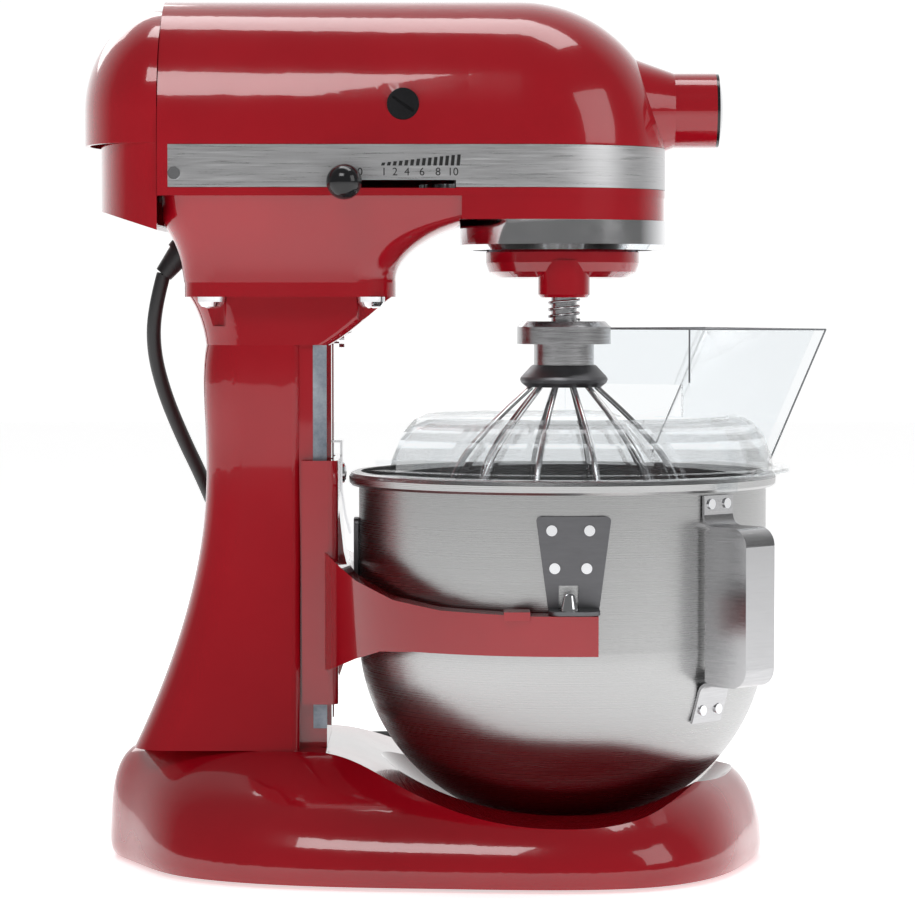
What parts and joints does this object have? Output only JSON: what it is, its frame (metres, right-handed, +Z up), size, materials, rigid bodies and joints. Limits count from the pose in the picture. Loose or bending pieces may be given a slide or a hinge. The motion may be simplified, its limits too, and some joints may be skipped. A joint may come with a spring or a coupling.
{
  "type": "stand mixer",
  "caption": "Tabletop stand mixer with a domed head, planetary wire whisk, lifting bowl on a column, clear pouring shield and a domed base.",
  "frame": {"origin": "on the ground, at the bottom centre of the bounding box of the mixer without its cord", "axes": "+X towards the attachment hub at the front, +Z up, Y across"},
  "size_m": [0.3604, 0.3537, 0.415],
  "materials": {
    "enamel": "gloss",
    "steel": "brushed",
    "chrome": "polished",
    "band": "brushed",
    "iron": "ground",
    "black": "gloss",
    "dark": "matte",
    "rubber": "matte",
    "clear": "clear",
    "copper": "plain"
  },
  "bodies": {
    "mixer": {"armature_bearings": "iron", "base": "enamel", "base_screws": "steel", "brush_caps": "black", "brush_holders": "dark", "column": "enamel", "column_screws": "chrome", "control_plate": "dark", "cord": "rubber", "cord_coil": "rubber", "cord_tie": "rubber", "drip_ring": "chrome", "feet": "rubber", "guide_ways": "iron", "head_screws": "chrome", "hub_ring": "black", "lower_housing": "enamel", "planetary_bush": "copper", "plug": "dark", "rear_cover": "enamel", "ring_gear": "iron", "stator": "iron", "strain_relief": "rubber", "trim_band": "band", "upper_housing": "enamel"},
    "bowl_support": {"yoke": "enamel", "locating_pins": "chrome", "latch_spring": "chrome", "latch_screw": "chrome"},
    "lift": {"lift_shaft": "steel", "lift_handle": "steel", "lift_grip": "black"},
    "bowl": {"bowl": "steel", "bowl_handle": "steel", "bowl_brackets": "iron", "bowl_rivets": "chrome"},
    "shield": {"pouring_shield": "clear"},
    "planetary": {"planetary": "enamel", "planetary_shaft": "steel", "centre_gear": "iron"},
    "beater": {"beater_shaft": "steel", "agitator_pinion": "iron", "beater_spring": "steel"},
    "whisk": {"whisk_hub": "steel", "whisk_ferrule": "steel", "whisk_wires": "steel"},
    "armature": {"armature_shaft": "steel", "armature_core": "iron", "commutator": "copper", "cooling_fan": "dark"},
    "worm_wheel": {"worm_gear_shaft": "steel", "worm_gear": "copper"},
    "hub_drive": {"hub_drive": "iron"},
    "speed_control": {"speed_lever": "dark", "speed_knob": "black"},
    "hub_flap": {"hub_cap": "chrome"},
    "attachment_knob": {"attachment_knob": "black"}
  },
  "joints": [
    {"name": "planetary_spin", "type": "hinge", "parent": "mixer", "child": "planetary", "pos_m": [0.051, 0, 0.29], "axis": [0, 0, 1], "continuous": true},
    {"name": "beater_spin", "type": "hinge", "parent": "planetary", "child": "beater", "pos_m": [0.051, -0.026, 0.29], "axis": [0, 0, 1], "continuous": true},
    {"name": "whisk_push", "type": "slide", "parent": "beater", "child": "whisk", "axis": [0, 0, 1], "range_m": [0, 0.004], "deforming": ["beater_spring"]},
    {"name": "worm_wheel_spin", "type": "hinge", "parent": "mixer", "child": "worm_wheel", "pos_m": [0.00051, -0.024, 0.35], "axis": [0, 0, 1], "continuous": true},
    {"name": "armature_spin", "type": "hinge", "parent": "mixer", "child": "armature", "pos_m": [0, 0, 0.366], "axis": [1, 0, 0], "continuous": true},
    {"name": "hub_drive_spin", "type": "hinge", "parent": "mixer", "child": "hub_drive", "pos_m": [0.08, 0, 0.3627], "axis": [1, 0, 0], "continuous": true},
    {"name": "bowl_lift", "type": "slide", "parent": "mixer", "child": "bowl_support", "axis": [0, 0, 1], "range_m": [0, 0.044]},
    {"name": "lift_turn", "type": "hinge", "parent": "mixer", "child": "lift", "pos_m": [-0.103, 0, 0.158], "axis": [0, -1, 0], "range_deg": [0, 145]},
    {"name": "bowl_off", "type": "slide", "parent": "bowl_support", "child": "bowl", "axis": [0, 0, 1], "range_m": [0, 0.01]},
    {"name": "shield_lift", "type": "slide", "parent": "bowl", "child": "shield", "axis": [0, 0, 1], "range_m": [0, 0.01]},
    {"name": "speed_slide", "type": "slide", "parent": "mixer", "child": "speed_control", "axis": [1, 0, 0], "range_m": [0, 0.041]},
    {"name": "hub_flap_open", "type": "hinge", "parent": "mixer", "child": "hub_flap", "pos_m": [0.1262, 0, 0.3782], "axis": [0, -1, 0], "range_deg": [0, 90]},
    {"name": "attachment_knob_turn", "type": "hinge", "parent": "mixer", "child": "attachment_knob", "pos_m": [0.112, 0.026, 0.3627], "axis": [0, 1, 0], "range_deg": [0, 720]}
  ],
  "couplings": [
    {"joint": "beater_spin", "follows": "planetary_spin", "ratio": -3.5},
    {"joint": "worm_wheel_spin", "follows": "planetary_spin", "ratio": -2.0714},
    {"joint": "armature_spin", "follows": "planetary_spin", "ratio": -66.286},
    {"joint": "hub_drive_spin", "follows": "planetary_spin", "ratio": -1},
    {"joint": "lift_turn", "follows": "bowl_lift", "rad_per_m": 57.12}
  ]
}
